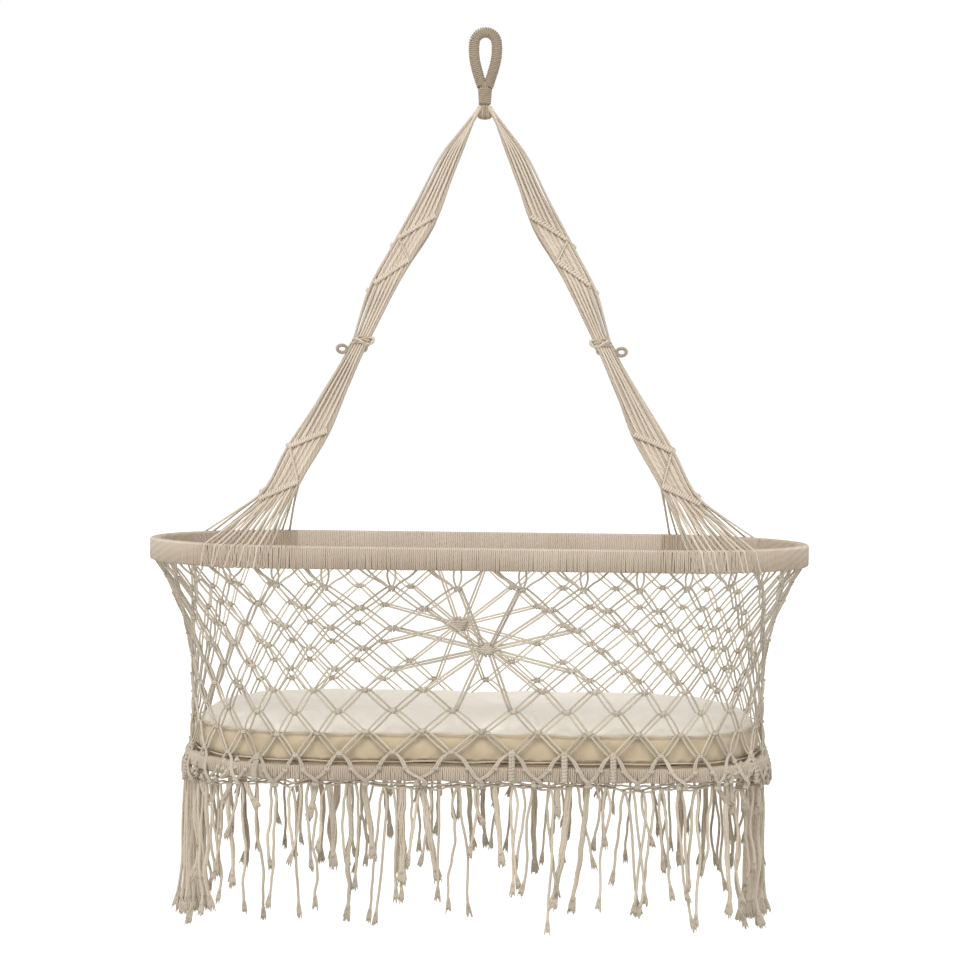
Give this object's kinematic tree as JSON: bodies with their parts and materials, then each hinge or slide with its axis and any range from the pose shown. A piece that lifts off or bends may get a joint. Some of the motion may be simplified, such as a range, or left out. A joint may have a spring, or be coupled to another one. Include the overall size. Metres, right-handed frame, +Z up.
{
  "type": "hanging baby cradle",
  "caption": "Oval hanging cradle: four fanned cord straps from a wound loop carry a cord-wrapped rim, a diamond net with stars, a wrapped base, a mattress and a fringe.",
  "frame": {"origin": "inner top of the hanging loop's eye, where a ceiling hook carries it", "axes": "+Z up, +X along the cradle's length to the right as seen from the front, +Y from the front to the back"},
  "size_m": [0.8976, 0.451, 1.2138],
  "materials": {
    "loop_cord": "undyed cotton cord, matt, with visible lay",
    "strap_cord": "undyed cotton cord, matt, with visible lay",
    "net_cord": "undyed cotton cord, matt, with visible lay",
    "wrap_cord": "undyed cotton cord, matt, with visible lay",
    "fringe_cord": "undyed cotton cord, matt, frayed at the ends",
    "mattress_cloth": "plain off-white cotton cloth",
    "cane_hoop": "bare cane, hidden under the wound cord",
    "plywood": "bare plywood, seen only from below"
  },
  "bodies": {
    "hanging_loop": {"hanging_loop_core": "loop_cord", "hanging_loop_winding": "loop_cord", "neck_whipping": "loop_cord"},
    "swing_knot": {"neck_knot": "loop_cord"},
    "cradle": {"rim_hoop": "cane_hoop", "base_hoop": "cane_hoop", "base_board": "plywood", "front_left_strap_cords": "strap_cord", "front_left_gathering_knot": "strap_cord", "front_right_strap_cords": "strap_cord", "front_right_gathering_knot": "strap_cord", "back_left_strap_cords": "strap_cord", "back_left_gathering_knot": "strap_cord", "back_right_strap_cords": "strap_cord", "back_right_gathering_knot": "strap_cord", "front_left_upper_hitch_band": "strap_cord", "front_left_lower_hitch_band": "strap_cord", "front_right_upper_hitch_band": "strap_cord", "front_right_lower_hitch_band": "strap_cord", "back_left_upper_hitch_band": "strap_cord", "back_left_lower_hitch_band": "strap_cord", "back_right_upper_hitch_band": "strap_cord", "back_right_lower_hitch_band": "strap_cord", "left_picot_loop": "strap_cord", "right_picot_loop": "strap_cord", "net_front": "net_cord", "net_front_right": "net_cord", "net_right_end": "net_cord", "net_back_right": "net_cord", "net_back": "net_cord", "net_back_left": "net_cord", "net_left_end": "net_cord", "net_front_left": "net_cord", "front_star_knot": "net_cord", "back_star_knot": "net_cord", "rim_wrap_front": "wrap_cord", "rim_wrap_right_end": "wrap_cord", "rim_wrap_back": "wrap_cord", "rim_wrap_left_end": "wrap_cord", "strap_hitch_front_left": "wrap_cord", "strap_hitch_front_right": "wrap_cord", "strap_hitch_back_left": "wrap_cord", "strap_hitch_back_right": "wrap_cord", "base_wrap_front": "wrap_cord", "base_wrap_right_end": "wrap_cord", "base_wrap_back": "wrap_cord", "base_wrap_left_end": "wrap_cord", "fringe_front": "fringe_cord", "fringe_right_end": "fringe_cord", "fringe_back": "fringe_cord", "fringe_left_end": "fringe_cord", "left_tassel": "fringe_cord", "right_tassel": "fringe_cord", "base_lacing": "net_cord"},
    "mattress": {"mattress": "mattress_cloth"}
  },
  "joints": [
    {"name": "side_swing", "type": "hinge", "parent": "hanging_loop", "child": "swing_knot", "pos_m": [0, 0, -0.0985], "axis": [0, 1, 0], "range_deg": [-20, 20]},
    {"name": "cradle_swing", "type": "hinge", "parent": "swing_knot", "child": "cradle", "pos_m": [0, 0, -0.0985], "axis": [1, 0, 0], "range_deg": [-25, 25]},
    {"name": "mattress_lift", "type": "slide", "parent": "cradle", "child": "mattress", "axis": [0, 0, 1], "range_m": [0, 0.3]}
  ]
}
